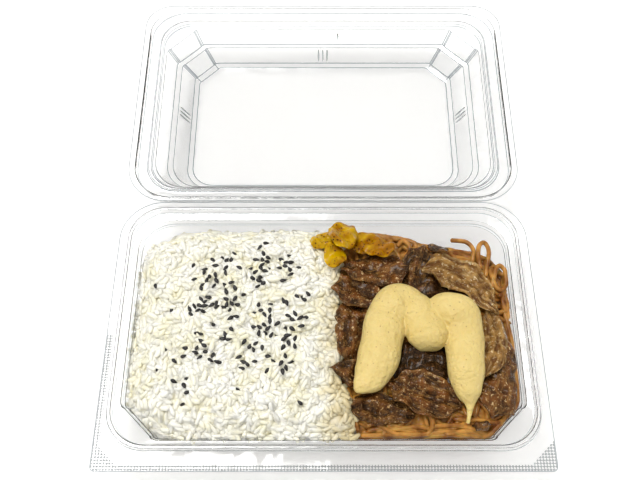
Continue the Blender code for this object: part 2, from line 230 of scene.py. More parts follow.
def clear_plastic(name, tint, roughness=0.03, knurled=False, clearness=1.0):
    """Thermoformed polystyrene: glassy, with a faint swell every 14 mm, and a grip pressed in."""
    made, tree, shader = new_finish(name, tint, roughness, IOR=1.58,
                                    Transmission_Weight=clearness)
    place = own_millimetres(tree)
    wavy = add_node(tree, 'ShaderNodeTexNoise', inputs={"Vector": place, "Scale": 0.07,
                                                        "Detail": 2.0})
    relief = add_node(tree, 'ShaderNodeBump', inputs={"Height": wavy, "Distance": 0.0011,
                                                      "Strength": 0.5})
    if knurled:
        # The real diamonds are finer; 1 mm ones are the finest that show. They cover the front
        # strip of the rim, the front part of its left strip, and its two front corners.
        spun = add_node(tree, 'ShaderNodeVectorRotate', {'rotation_type': 'Z_AXIS'},
                        {"Vector": place, "Angle": math.radians(45)})
        diamonds = add_node(tree, 'ShaderNodeTexChecker', inputs={"Vector": spun, "Scale": 1.0})
        parts = add_node(tree, 'ShaderNodeSeparateXYZ', inputs={0: place})
        known = {"diamonds": diamonds.outputs["Fac"], "x": parts.outputs["X"],
                 "y": parts.outputs["Y"]}
        for result, rule, first, second in (("front strip", 'LESS_THAN', "y", -68.4),
                                            ("left strip", 'LESS_THAN', "x", -102.8),
                                            ("front part", 'LESS_THAN', "y", -5.0),
                                            ("left", 'MULTIPLY', "left strip", "front part"),
                                            ("strips", 'MAXIMUM', "front strip", "left"),
                                            ("aside", 'ABSOLUTE', "x", 0.0),
                                            ("outward", 'SUBTRACT', "aside", "y"),
                                            ("corners", 'GREATER_THAN', "outward", 163.0),
                                            ("area", 'MAXIMUM', "strips", "corners"),
                                            ("grip", 'MULTIPLY', "diamonds", "area")):
            known[result] = add_node(tree, 'ShaderNodeMath', {'operation': rule},
                                     {0: known[first], 1: known.get(second, second)})
        grip = known["grip"]
        relief = add_node(tree, 'ShaderNodeBump', inputs={"Height": grip, "Distance": 0.0006,
                                                          "Strength": 1.0, "Normal": relief})
        frosted = add_node(tree, 'ShaderNodeMapRange', inputs={0: grip, 3: roughness, 4: 0.5})
        tree.links.new(frosted.outputs[0], shader.inputs["Roughness"])
        greyed = add_node(tree, 'ShaderNodeMix', {'data_type': 'RGBA'},
                          {0: grip, 6: tone(tint), 7: tone("#9EA3A6")})
        tree.links.new(greyed.outputs[2], shader.inputs["Base Color"])
    tree.links.new(relief.outputs[0], shader.inputs["Normal"])
    return made


# Each level is a height and the ring there: half width, front, rear and its corners. The first
# ring strip is the cut edge of the sheet, which shows as a grey line.
EDGE_STRIP = 0.45
tray_levels = [(TRAY_HEIGHT, outline(HALF_WIDTH, -HALF_DEPTH, 71.4, 2.5, 22)),
               (TRAY_HEIGHT, outline(HALF_WIDTH - EDGE_STRIP, EDGE_STRIP - HALF_DEPTH,
                                     71.4 - EDGE_STRIP, 2.1, 21.6)),
               (TRAY_HEIGHT, outline(101.4, -62.2, 67.4, 19, 19)),
               (28.4, outline(100.9, -61.7, 66.9, 18.5, 18.5)),
               (28.4, outline(99.2, -60.0, 65.2, 17.5, 17.5)),
               (25.6, outline(98.6, -59.4, 64.6, 17, 17))]
tray_levels += [(height, well_outline(inset)) for height, inset in reversed(WELL_STEPS)]
# The fold finish on the formed radii is tinted grey: painted shade, so the bends of the clear
# sheet show as darker lines.
fold_line = clear_plastic("clear_polystyrene_fold", "#D8DCDE", 0.10)
cut_edge = clear_plastic("clear_polystyrene_cut_edge", "#BCC2C6", 0.5, clearness=0.7)
tray = form_sheet("formed_tray", tray_levels,
                  (clear_plastic("clear_polystyrene_tray", "#FFFFFF", knurled=True), fold_line,
                   cut_edge))
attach(tray, "box")
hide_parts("tray")

HINGE_HEIGHT, LID_RISE = 26.2, math.radians(2.0)


def open_lid(x, y, z):
    """From the lid's own frame, its origin on the hinge line, to where it lies when open."""
    z -= 0.2                                        # the lid's flange hangs a little under it
    return (x, HALF_DEPTH + y * math.cos(LID_RISE) - z * math.sin(LID_RISE),
            HINGE_HEIGHT + y * math.sin(LID_RISE) + z * math.cos(LID_RISE))


lid_levels = [(0.0, outline(HALF_WIDTH, 0.3, 137.0, 22, 16)),
              (0.0, outline(HALF_WIDTH - EDGE_STRIP, 0.3 + EDGE_STRIP, 137.0 - EDGE_STRIP,
                            21.6, 15.6))]
# Inwards and down from the flange: height, half width, near, far, corners and which end is cut.
for height, half, near, far, corner, cut in (
        (0.0, 102.5, 3.2, 135.0, 20, 0), (-4.0, 101.8, 3.8, 134.4, 19.5, 0),
        (-4.0, 96.8, 8.6, 128.6, 17, 0), (-3.0, 96.2, 9.2, 128.0, 17, 0),
        (-3.0, 94.6, 10.2, 125.4, 16, 0), (-4.0, 94.0, 10.6, 124.6, 16, 0),
        (-4.0, 92.5, 11.4, 122.0, 17, 1), (-12.6, 87.5, 15.2, 117.8, 15.5, 1),
        (-13.4, 84.4, 17.4, 115.8, 14.5, 1), (-25.0, 78.2, 23.4, 113.4, 12.5, 1),
        (-26.4, 75.5, 26.0, 111.0, 12, 1)):
    lid_levels.append((height, outline(half, near, far, corner, corner, cut)))
# The lid's fold finish is a darker grey: painted shade along its bends.
lid = form_sheet("formed_lid", lid_levels,
                 (clear_plastic("clear_polystyrene_lid", "#FFFFFF"),
                  clear_plastic("clear_polystyrene_lid_fold", "#AEB4B8", 0.10), cut_edge),
                 open_lid)
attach(lid, "lid")
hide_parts("lid")


def joined(pieces, name):
    """Several pieces made one, which is left active, with nothing selected."""
    for piece in pieces:
        piece.select_set(True)
    bpy.context.view_layer.objects.active = pieces[0]
    bpy.ops.object.join()
    bpy.context.object.name = name
    bpy.ops.object.select_all(action='DESELECT')
    return bpy.context.object


# Slim ribs stand in the wall: three in each side, three at the far end, one higher up there.
ribs = []
for side, across in [(side, across) for side in (0, -1, 1) for across in (-2.6, 0.0, 2.6)] \
        + [("high", 9.0)]:
    bpy.ops.mesh.primitive_uv_sphere_add(segments=10, ring_count=8, radius=1.0)
    rib = bpy.context.object
    for vert in rib.data.vertices:
        x, y, z = vert.co
        reach = -8.4 + 3.2 * z if side == "high" else -19.2 + 4.6 * z
        lean = (-13.4 - reach) / 11.6               # how far down the lower wall, 0 to 1
        if side == "high":
            place = (across + 0.5 * x, 120.0 + 0.45 * y, reach)
        elif side:
            place = (side * (84.4 - 6.2 * lean - 0.15 + 0.45 * x * side),
                     70.0 + across + 0.55 * y, reach)
        else:
            place = (across + 0.55 * x, 115.8 - 2.4 * lean - 0.15 + 0.45 * y, reach)
        vert.co = Vector(open_lid(*place)) * MM
    bpy.ops.object.shade_smooth()
    ribs.append(rib)
ribs = joined(ribs, "lid_ribs")
# The ribs take the grey fold finish, painted shade that shows them as darker lines.
ribs.data.materials.append(fold_line)
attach(ribs, "lid")

bpy.ops.mesh.primitive_grid_add(x_subdivisions=40, y_subdivisions=6, size=1)
strip = bpy.context.object
strip.name = "hinge_strip"
STRIP_HALF, STRIP_SAG = 84.5, 0.35
for vert in strip.data.vertices:
    along, across = vert.co.x * 2, vert.co.y + 0.5
    vert.co = Vector((along * STRIP_HALF, 71.25 + 0.9 * across,
                      25.92 + 0.12 * across - STRIP_SAG * math.sin(math.pi * across))) * MM
wall = strip.modifiers.new("Sheet", 'SOLIDIFY')
wall.thickness, wall.offset = 0.2 * MM, -1.0
bpy.ops.object.modifier_apply(modifier=wall.name)
strip.data.materials.append(bpy.data.materials["clear_polystyrene_lid"])
bpy.ops.object.select_all(action='DESELECT')
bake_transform(strip)


# ---- Steamed rice ---------------------------------------------------------
# Short-grain white rice, pressed into the left of the tray. A core with the heap's shape holds
# it up, and real grains lie all over its top and against the clear walls.

RICE_TOP, NOODLE_TOP, EDGE = 29.6, 25.6, 3.6     # crowns, and the gap to the well's top edge
dice = np.random.default_rng(11)


def lumps(x, y, length, seed):
    """Smooth unevenness between about -1 and 1, with the given wave length."""
    total = 0.0
    for wave in range(4):
        angle = seed * 1.7 + wave * 2.4
        along = x * math.cos(angle) + y * math.sin(angle)
        period = length * (0.8 + 0.17 * wave)
        total = total + np.sin(2 * math.pi * along / period + seed + wave * 1.9)
    return total / 2.4


def wall_inset(height):
    """How far in the well's wall stands at a height."""
    heights, insets = zip(*WELL_STEPS)
    return np.interp(height, heights, insets)


def wall_x(y, inset):
    """Half width of the well at a given depth, with its cut and eased corners."""
    cut = WELL_CHAMFER - CHAMFER_LOSS * inset
    nearest = np.minimum(y - WELL_FRONT, WELL_REAR - y) - inset
    return WELL_HALF - inset - np.interp(nearest / cut, CORNER_ALONG, CORNER_ALONG[::-1]) * cut


def border(y):
    """Where the rice ends and the noodles begin."""
    return np.interp(y, (-57, -42, -28, -10, 20, 60), (15.5, 13.5, 8.0, 6.5, 7.0, 9.0))


def shoulder(x, y, edges, crown, fall):
    """Height that starts at an edge value by each wall and rises to the crown."""
    front, side, rear = edges
    height = crown
    for distance, edge in ((y - WELL_FRONT - EDGE, front), (wall_x(y, EDGE) - np.abs(x), side),
                           (WELL_REAR - EDGE - y, rear)):
        height = height - (crown - edge) * np.exp(-(np.maximum(distance, 0.0) / fall) ** 1.3)
    return np.maximum(height, min(edges) - 3.0)


def rice_top(x, y):
    """It rolls in lumps and falls towards the rear and the noodles."""
    crown = RICE_TOP + 0.9 * lumps(x, y, 31, 1) + 0.8 * lumps(x, y, 13, 5)
    crown = crown - 1.6 * np.maximum(0.0, (y - 30) / 25) - 1.2 * np.maximum(0.0, (x + 12) / 25)
    return shoulder(x, y, (23.2, 20.5, 18.5), crown, 6.5)


def noodle_top(x, y):
    """Lower and flatter than the rice, and level up to the walls."""
    crown = NOODLE_TOP + 0.5 * lumps(x, y, 24, 2) + 0.4 * lumps(x, y, 9, 7)
    return shoulder(x, y, (23.0, 22.0, 19.5), crown, 5.0)


def noodle_rear(x):
    """How far back the noodles reach; the right rear corner of the tray stays empty."""
    return np.interp(x, (9, 33, 52, 74, 84, 95), (55, 53, 46, 42, 38, 28))


REAR_LEAN = 0.12                                # how much further back they reach per mm down


def shown(name, mesh, surface):
    """A finished mesh as a smooth piece of the scene."""
    mesh.shade_smooth()
    mesh.materials.append(surface)
    made = bpy.data.objects.new(name, mesh)
    bpy.context.collection.objects.link(made)
    return made


def new_piece(name, points, faces, surface):
    """A smooth piece from points in millimetres, its faces turned outwards."""
    mesh = bpy.data.meshes.new(name)
    mesh.from_pydata((np.asarray(points, float) * MM).tolist(), [], faces)
    shape = bmesh.new()
    shape.from_mesh(mesh)
    bmesh.ops.recalc_face_normals(shape, faces=shape.faces)
    shape.to_mesh(mesh)
    shape.free()
    return shown(name, mesh, surface)


def heap_core(name, left, right, top, sink, columns, rows, surface, rear=None):
    """The held-up middle of a heap: a block between the walls with a lumpy top. It is rings of
    points from the floor up, the last of them, with no height of its own, a grid on the top."""
    levels = [(height, float(wall_inset(height)) + sink) for height in (0.9, 4.0, 13.0, 19.0)]
    levels.append((None, EDGE + sink))
    points, index = [], {}
    for step, (height, inset) in enumerate(levels):
        for row in range(rows + 1):
            for column in range(columns + 1):
                if height is not None and 0 < row < rows and 0 < column < columns:
                    continue
                end = WELL_REAR - inset
                if rear:
                    end = min(end, rear(9 + 86 * column / columns) - sink
                              + REAR_LEAN * (NOODLE_TOP - (height or NOODLE_TOP)))
                y = WELL_FRONT + inset + (end - WELL_FRONT - inset) * row / rows
                start, stop = float(left(y, inset)), float(right(y, inset))
                x = start + (stop - start) * column / columns
                index[step, row, column] = len(points)
                points.append((x, y, float(top(x, y)) if height is None else height))
    rim = ([(0, column) for column in range(columns)] + [(row, columns) for row in range(rows)]
           + [(rows, column) for column in range(columns, 0, -1)]
           + [(row, 0) for row in range(rows, 0, -1)])
    faces = [tuple(index[0, row, column] for row, column in rim)]
    for step in range(len(levels) - 1):
        for (row, column), (row_b, column_b) in zip(rim, rim[1:] + rim[:1]):
            faces.append((index[step, row, column], index[step, row_b, column_b],
                          index[step + 1, row_b, column_b], index[step + 1, row, column]))
    last = len(levels) - 1
    for row in range(rows):
        for column in range(columns):
            faces.append((index[last, row, column], index[last, row, column + 1],
                          index[last, row + 1, column + 1], index[last, row + 1, column]))
    return new_piece(name, points, faces, surface)


# Steamed grains are milky and soft inside, with a damp shine, and cream in patches 9 mm across.
cooked_rice, tree, shader = new_finish("steamed_white_rice", "#F0EDE0", 0.40,
                                       Subsurface_Weight=0.5, Subsurface_Scale=0.0014,
                                       Coat_Weight=0.15, Coat_Roughness=0.25, IOR=1.4)
shader.inputs["Subsurface Radius"].default_value = (1.0, 0.95, 0.85)
place = own_millimetres(tree)
patches = add_node(tree, 'ShaderNodeTexNoise', inputs={"Vector": place, "Scale": 0.11,
                                                       "Detail": 3.0})
share = add_node(tree, 'ShaderNodeMapRange', inputs={0: patches, 1: 0.42, 2: 0.72})
mixed = add_node(tree, 'ShaderNodeMix', {'data_type': 'RGBA'},
                 {0: share, 6: tone("#F8F5E8"), 7: tone("#EDE7C8")})
# Sauce has soaked into the grains along the noodles, in an uneven band.
parts = add_node(tree, 'ShaderNodeSeparateXYZ', inputs={0: place})
nearby = add_node(tree, 'ShaderNodeMath', {'operation': 'MULTIPLY_ADD'},
                  {0: patches, 1: 22.0, 2: parts})
soaked = add_node(tree, 'ShaderNodeMapRange', inputs={0: nearby, 1: 7.0, 2: 21.0, 4: 0.95})
stained = add_node(tree, 'ShaderNodeMix', {'data_type': 'RGBA'},
                   {0: soaked, 6: mixed.outputs[2], 7: tone("#CDBD92")})
grainy = add_node(tree, 'ShaderNodeTexNoise', inputs={"Vector": place, "Scale": 1.1,
                                                      "Detail": 2.0})
coat_with(tree, shader, stained.outputs[2], grainy, 0.0003, 0.35)

rice_core = heap_core("rice_core", lambda y, inset: -wall_x(y, inset),
                      lambda y, inset: border(y) - 0.6,
                      lambda x, y: rice_top(x, y) - 0.7 + 0.55 * lumps(x, y, 5.0, 9),
                      sink=1.3, columns=84, rows=96, surface=cooked_rice)
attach(rice_core, "box")
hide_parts("rice")


def bean_shape(sides=6, rings=5, bend=0.12, blunt=True):
    """Points and faces of one grain, 1 long and 1 across, a little bent; blunt or pointed."""
    bpy.ops.mesh.primitive_uv_sphere_add(segments=sides, ring_count=rings, radius=0.5)
    seed = bpy.context.object
    bpy.ops.object.mode_set(mode='EDIT')
    bpy.ops.mesh.quads_convert_to_tris()
    bpy.ops.object.mode_set(mode='OBJECT')
    points = np.array([vert.co[:] for vert in seed.data.vertices])[:, (2, 0, 1)]
    faces = np.array([face.vertices[:] for face in seed.data.polygons])
    bpy.data.objects.remove(seed)
    ends = (2 * points[:, 0:1]) ** 2
    points[:, 1:] *= np.sqrt(1 + ends) if blunt else (1 - 0.35 * ends ** 2) * 1.02
    points[:, 2] += bend * (0.25 - points[:, 0] ** 2)
    return points, faces


def scatter(name, shape, places, aheads, ups, sizes, surface):
    """One mesh of many copies of a shape, each with its place, direction, up and size."""
    points, faces = shape
    aheads = aheads / np.linalg.norm(aheads, axis=1, keepdims=True)
    aside = np.cross(ups, aheads)
    aside /= np.linalg.norm(aside, axis=1, keepdims=True)
    ups = np.cross(aheads, aside)
    scaled = points[None] * sizes[:, None]
    spread = (scaled[..., 0:1] * aheads[:, None] + scaled[..., 1:2] * aside[:, None]
              + scaled[..., 2:3] * ups[:, None] + places[:, None])
    count = len(places)
    mesh = bpy.data.meshes.new(name)
    faces = (faces[None] + (np.arange(count) * len(points))[:, None, None]).reshape(-1, 3)
    spread[..., 2] = np.maximum(spread[..., 2], 0.6)    # nothing pokes through the tray's floor
    spread = spread.reshape(-1, 3) * MM
    mesh.vertices.add(len(spread))
    mesh.vertices.foreach_set("co", spread.ravel())
    mesh.loops.add(faces.size)
    mesh.loops.foreach_set("vertex_index", faces.ravel())
    mesh.polygons.add(len(faces))
    mesh.polygons.foreach_set("loop_start", np.arange(0, faces.size, 3))
    mesh.update(calc_edges=True)
    return shown(name, mesh, surface)


def sizes_near(count, *usual):
    """Sizes for many copies, each measure spread a little about its usual one."""
    return np.stack([dice.normal(middle, spread, count) for middle, spread in usual], axis=1)


def run_of(route):
    """How far along its route each point lies."""
    return np.concatenate(((0,), np.cumsum(np.linalg.norm(np.diff(route, axis=0), axis=1))))


def rice_spots():
    """Where each grain lies and which way it points: over the top, then down the walls."""
    spots, aheads, ups = [], [], []
    for layer, (pitch, depth) in enumerate(((3.1, 1.7), (2.9, 0.75), (3.5, 0.1))):
        y = WELL_FRONT + 3.0
        while y < WELL_REAR - 3.0:
            edge = float(wall_x(y, 3.0))
            x = -edge
            while x < border(y) + 0.4:
                px, py = x + dice.uniform(-1.3, 1.3), y + dice.uniform(-1.3, 1.3)
                clump = lumps(px, py, 9, 3)
                if layer < 2 or clump > -0.25:
                    top = float(rice_top(px, py))
                    slope_x = float(rice_top(px + 1, py)) - top
                    slope_y = float(rice_top(px, py + 1)) - top
                    up = np.array((-slope_x, -slope_y, 1.0)) + dice.normal(0, 0.15, 3)
                    turn = dice.uniform(0, 2 * math.pi)
                    ahead = np.array((math.cos(turn), math.sin(turn), 0.0))
                    ahead = ahead - up * ahead.dot(up) / up.dot(up)
                    ahead[2] += dice.normal(0, 0.12)
                    spots.append((px, py, top - depth + 0.7 * clump + dice.normal(0, 0.12)))
                    aheads.append(ahead)
                    ups.append(up)
                x += pitch
            y += pitch
    for height in np.arange(2.2, 25.0, 2.5):
        inset = float(wall_inset(height)) + 1.25
        ring = well_outline(inset)
        ring = np.array(ring + ring[:1])
        along = run_of(ring)
        for place in np.arange(0, along[-1], 4.2):
            place = place + dice.uniform(-1.2, 1.2)
            px, py = (np.interp(place, along, ring[:, axis]) for axis in (0, 1))
            if px > border(py) - 1.0 or height > rice_top(px, py) - 0.5:
                continue
            qx, qy = (np.interp(place + 1, along, ring[:, axis]) for axis in (0, 1))
            tangent = np.array((qx - px, qy - py, 0.0))
            tangent /= max(np.linalg.norm(tangent), 1e-6)
            outward = np.array((tangent[1], -tangent[0], -0.2))
            turn = dice.uniform(0, 2 * math.pi)
            ahead = tangent * math.cos(turn) + np.array((0, 0, 1.0)) * math.sin(turn)
            spots.append((px, py, height + dice.uniform(-0.6, 0.6)))
            aheads.append(ahead)
            ups.append(outward)
    return np.array(spots), np.array(aheads), np.array(ups)


spots, aheads, ups = rice_spots()
sizes = sizes_near(len(spots), (6.4, 0.6), (2.75, 0.25), (2.2, 0.18))
rice_grains = scatter("rice_grains", bean_shape(), spots, aheads, ups, sizes, cooked_rice)
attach(rice_grains, "box")


# ---- Black sesame ---------------------------------------------------------
# Roasted black sesame seeds, shaken over the middle of the rice, so they fell in small groups.
# Each is a flat drop, lying on the grains under it.

# Each group's middle, how many seeds fell there, and how far they spread.
SEED_GROUPS = (
    (-79, -24, 1, 0), (-75, 7, 1, 0), (-69, -18, 3, 3), (-67, 28, 5, 5), (-63, -33, 4, 3),
    (-63, 5, 3, 3), (-60, -8, 3, 2), (-60, 9, 8, 3), (-59, -15, 7, 2.5), (-56, 21, 7, 3),
    (-52, -20, 3, 1.5), (-52, 9, 6, 2.5), (-49, 34, 8, 3), (-47, -9, 3, 2), (-46, 0, 4, 3),
    (-46, 19, 4, 2), (-42, 11, 4, 1.5), (-40, -35, 1, 0), (-38, -21, 4, 2), (-37, 29, 1, 0),
    (-35, -13, 5, 3), (-33, 23, 3, 1.5), (-30, 18, 2, 1.5), (-30, 31, 10, 2.6),
    (-30, 40, 2, 2), (-29, 7, 7, 3), (-27, -21, 4, 3), (-27, -4, 9, 2.4), (-20, 22, 1, 0),
    (-19, -24, 5, 4), (-19, 11, 2, 1), (-18, -11, 6, 2.6), (-18, 31, 9, 2.6),
    (-13, -2, 9, 2.8), (-10, 13, 4, 1.4), (-11, -41, 1, 0), (-84, 20, 1, 0), (-66, -41, 1, 0))


def lie_on(trees, x, y):
    """Height and slope of the highest of several pieces under a place."""
    best, slope = -1.0, Vector((0, 0, 1))
    for tree in trees:
        hit, normal, _, _ = tree.ray_cast(Vector((x, y, 60)) * MM, Vector((0, 0, -1)))
        if hit and hit.z / MM > best:
            best, slope = hit.z / MM, normal
    return best, slope


def surface_tree(*items):
    """The pieces as rays meet them."""
    bpy.context.view_layer.update()
    made = bpy.context.evaluated_depsgraph_get()
    return [BVHTree.FromObject(item, made) for item in items]


# The roasted hull is nearly black and half matt, pitted every 0.7 mm.
roasted, tree, shader = new_finish("roasted_sesame_hull", "#0C0A09", 0.45)
where = add_node(tree, 'ShaderNodeTexCoord')
fine = add_node(tree, 'ShaderNodeTexNoise', inputs={"Vector": where.outputs["Object"],
                                                    "Scale": 1500.0, "Detail": 2.0})
dull = add_node(tree, 'ShaderNodeMix', {'data_type': 'RGBA'},
                {0: fine, 6: tone("#060505"), 7: tone("#1B1714")})
coat_with(tree, shader, dull.outputs[2], fine, 0.0001, 0.5)

drop_points, drop_faces = bean_shape(sides=8, rings=6, bend=0.0, blunt=False)
drop_points[:, 1:] *= (1.0 - 0.75 * drop_points[:, 0:1])
rice_trees = surface_tree(rice_grains, rice_core)
SEED_APART, SEED_LIFT = 2.2, 0.38
places, aheads, ups = [], [], []
for x, y, count, spread in SEED_GROUPS:
    for _ in range(count):
        for _ in range(12):
            px, py = x + dice.normal(0, spread * 0.95), y + dice.normal(0, spread * 0.95)
            if all(math.dist((px, py), other[:2]) > SEED_APART for other in places):
                break
        z, slope = lie_on(rice_trees, px, py)
        turn = dice.uniform(0, 2 * math.pi)
        slope = np.array(slope) * 0.45 + np.array((0, 0, 0.6)) + dice.normal(0, 0.12, 3)
        places.append((px, py, z + SEED_LIFT))
        ahead = np.array((math.cos(turn), math.sin(turn), 0.0))
        aheads.append(ahead - slope * ahead.dot(slope) / slope.dot(slope))
        ups.append(slope)
sizes = sizes_near(len(places), (3.5, 0.2), (1.85, 0.12), (1.0, 0.08))
seeds = scatter("sesame_seeds", (drop_points, drop_faces), np.array(places), np.array(aheads),
                np.array(ups), sizes, roasted)
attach(seeds, "box")


# ---- Fried noodles --------------------------------------------------------
# Soft wheat noodles tossed in a thin brown sauce: a tangle that fills the right of the tray.
# A core holds them up, and long round strands lie in loose bends over it and along the walls.

def smooth_route(knots, count):
    """Points at even parameters on a curve through the knots."""
    knots = [np.array(knot, float) for knot in knots]
    ends = [2 * knots[0] - knots[1]] + knots + [2 * knots[-1] - knots[-2]]
    route = []
    for place in np.linspace(0, len(knots) - 1, count):
        span = min(int(place), len(knots) - 2)
        t = place - span
        a, b, c, d = ends[span:span + 4]
        route.append(0.5 * (2 * b + (c - a) * t + (2 * a - 5 * b + 4 * c - d) * t ** 2
                            + (3 * b - a - 3 * c + d) * t ** 3))
    return np.array(route)


def strand_mesh(route, radius, sides=8):
    """Rings round a route and the faces between them, its ends rounded off."""
    route = np.asarray(route, float)
    ahead = np.gradient(route, axis=0)
    ahead /= np.linalg.norm(ahead, axis=1, keepdims=True) + 1e-9
    aside = np.cross(ahead, np.array((0.0, 0.0, 1.0)))
    aside /= np.linalg.norm(aside, axis=1, keepdims=True) + 1e-9
    over = np.cross(aside, ahead)
    radius = np.broadcast_to(np.asarray(radius, float), (len(route),)).copy()
    radius[0] *= 0.45
    radius[-1] *= 0.45
    turns = (np.arange(sides) * 2 * math.pi / sides)[None, :, None]
    rings = route[:, None] + radius[:, None, None] * (np.cos(turns) * aside[:, None]
                                                      + np.sin(turns) * over[:, None])
    points = rings.reshape(-1, 3)
    faces = []
    for step in range(len(route) - 1):
        for side in range(sides):
            after = (side + 1) % sides
            a, b = step * sides, (step + 1) * sides
            faces.append((a + side, a + after, b + after, b + side))
    faces += [tuple(range(sides)), tuple(range(len(points) - sides, len(points)))]
    return points, faces


def bundle(name, strands, surface):
    """Many strands as one piece; each is its route and its radius."""
    points, faces = [], []
    for route, radius in strands:
        more, around = strand_mesh(route, radius)
        faces += [tuple(corner + len(points) for corner in face) for face in around]
        points += more.tolist()
    return new_piece(name, points, faces, surface)


# Boiled wheat dough in brown sauce: soft enough to let some light in, wet enough to glint, and
# stained unevenly every 6 mm.
noodle_dough, tree, shader = new_finish("sauced_wheat_noodle", "#C08A40", 0.4,
                                        Subsurface_Weight=0.3, Subsurface_Scale=0.0015,
                                        Coat_Weight=0.6, Coat_Roughness=0.14,
                                        Coat_IOR=1.35, IOR=1.35, Specular_IOR_Level=0.1)
place = own_millimetres(tree)
stain = add_node(tree, 'ShaderNodeTexNoise', inputs={"Vector": place, "Scale": 0.16,
                                                     "Detail": 3.0})
share = add_node(tree, 'ShaderNodeMapRange', inputs={0: stain, 1: 0.35, 2: 0.68})
mixed = add_node(tree, 'ShaderNodeMix', {'data_type': 'RGBA'},
                 {0: share, 6: tone("#C08A40"), 7: tone("#6C3C12")})
rough = add_node(tree, 'ShaderNodeTexNoise', inputs={"Vector": place, "Scale": 0.9})
coat_with(tree, shader, mixed.outputs[2], rough, 0.0003, 0.3)

noodle_core = heap_core("noodle_core", lambda y, inset: border(y) + 0.6, wall_x,
                        lambda x, y: noodle_top(x, y) - 2.2 + 0.5 * lumps(x, y, 4.5, 4),
                        sink=1.3, columns=70, rows=88, surface=noodle_dough, rear=noodle_rear)
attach(noodle_core, "box")
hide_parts("noodles")


def lay_strand(knots, count, radius, lift=0.0, tucked=True):
    """A strand through x, y places, resting on the heap and kept inside the walls."""
    route = smooth_route(knots, count)
    y = np.clip(route[:, 1], WELL_FRONT + 3.2, WELL_REAR - 3.2)
    x = np.clip(route[:, 0], border(y) + 1.0, wall_x(y, 2.9))
    if tucked:
        y = np.minimum(y, noodle_rear(x) - 1.0)
    raised = route[:, 2] if route.shape[1] > 2 else 0.0
    z = noodle_top(x, y) - 0.9 + lift + raised
    return np.stack((x, y, z), axis=1), radius


# Strands laid at random in loose bends; those by the front wall run along it.
STRIDE, BY_FRONT = 8, -35
strands = []
for _ in range(92):
    x, y = dice.uniform(14, 90), dice.uniform(-54, 46)
    heading = dice.normal(0.0, 0.5) if y < BY_FRONT else dice.uniform(0, 2 * math.pi)
    knots = []
    for _ in range(int(dice.integers(6, 11))):
        knots.append((x, y))
        x, y = x + STRIDE * math.cos(heading), y + STRIDE * math.sin(heading)
        heading += dice.normal(0, 0.55 if y < BY_FRONT else 0.8)
        if not (12 < x < 93 and -55 < y < 57):
            heading += math.radians(100)
            x, y = np.clip(x, 12, 93), np.clip(y, -55, 57)
    strands.append(lay_strand(knots, 8 * len(knots), lift=dice.uniform(-0.6, 1.1),
                              radius=dice.uniform(1.05, 1.25)))
# Loops and ends that can be told apart: along the front wall, up the right wall, at the rear.
by_hand = (
    ((20, -50, 0.6), (24, -49, 1.2), (30, -52, 1.6), (36, -55, 1.6), (43, -56.5, 1.7),
     (49, -53, 2.0), (50.5, -49, 2.4), (49, -45, 2.2)),
    ((17, -54, 0.3), (28, -55.5, 0.6), (38, -53.5, 0.6), (50, -55.5, 0.8), (62, -54.5, 0.9),
     (74, -56, 0.6)),
    ((50, -50.5, 1.6), (60, -50, 1.8), (70, -51.5, 1.7), (79, -53, 1.5), (84, -51, 1.2)),
    ((48, -53.5, 1.2), (58, -52.6, 1.6), (68, -54, 1.6), (80, -55, 1.0)),
    ((24, -52, 0.5), (34, -51.5, 0.9), (44, -50.5, 1.0), (56, -52, 1.0), (66, -49, 1.0)),
    ((26, -46.5, 0.5), (34, -50, 0.8), (42, -52, 0.8), (47, -56, 0.8)),
    ((84, -47, 1.0), (88, -40, 1.6), (90, -30, 1.8), (91.5, -18, 1.6), (89, -8, 1.4),
     (86, 2, 1.0)),
    ((86, -52, 0.8), (91, -42, 1.0), (92.5, -30, 1.2), (93, -16, 1.0), (92, -2, 1.0),
     (90, 12, 0.8)),
    ((80, 30, 2.5), (79, 38, 4.2), (80.5, 44, 4.6), (83.5, 46, 4.4), (85, 41, 4.0),
     (83.5, 33, 3.2), (82, 26, 2.2)),
    ((84, 19, 2.0), (86, 25, 3.6), (87.5, 30, 4.6), (90, 32.5, 4.8), (92.6, 30, 4.8),
     (92.8, 24, 4.4), (90, 19.5, 3.6), (87, 20.5, 3.2), (85.5, 25, 3.4), (84.5, 31, 2.8)),
    ((91, 8, 1.4), (90, 14, 2.2), (91.5, 20, 2.8), (88, 16, 2.0)),
    ((76, 34, 2.2), (77, 42, 3.0), (73, 47, 2.4), (66, 48, 1.6)),
    ((38, 44, 2.0), (41, 47, 2.6), (44, 45, 2.6), (45, 41, 2.0)),
    ((56, -54.5, 1.8), (66, -52.5, 2.2), (76, -53.5, 2.0), (85, -50, 1.4), (89, -46, 1.0)),
    ((60, -47, 1.2), (70, -47.5, 1.4), (80, -48, 1.4), (88, -45, 1.0)))
for knots in by_hand:
    strands.append(lay_strand(knots, 9 * len(knots), radius=1.2, tucked=False))
# Strands that show through the clear walls, each following the wall at its own height.
for height in np.arange(2.4, 22.0, 2.1):
    inset = float(wall_inset(height)) + 1.05
    ring = well_outline(inset)
    ring = np.array([ring[-1]] + ring[:2 * CORNER_POINTS] + [(-10.0, WELL_REAR - inset)])
    steps = run_of(ring)
    line = np.stack([np.interp(np.linspace(0, steps[-1], 240), steps, ring[:, axis])
                     for axis in (0, 1)], axis=1)
    line = line[(line[:, 0] > border(line[:, 1]) + 0.8)
                & (height < noodle_top(line[:, 0], line[:, 1]) - 1.2)]
    line = line[line[:, 1] < noodle_rear(line[:, 0])]
    wander = height + 1.5 * np.sin(np.arange(len(line)) * 0.13 + 1.7 * height) \
        + 0.8 * np.sin(np.arange(len(line)) * 0.31 + 2.6 * height)
    strands.append((np.column_stack((line[:, :2], np.maximum(wander, 1.9))), 1.12))
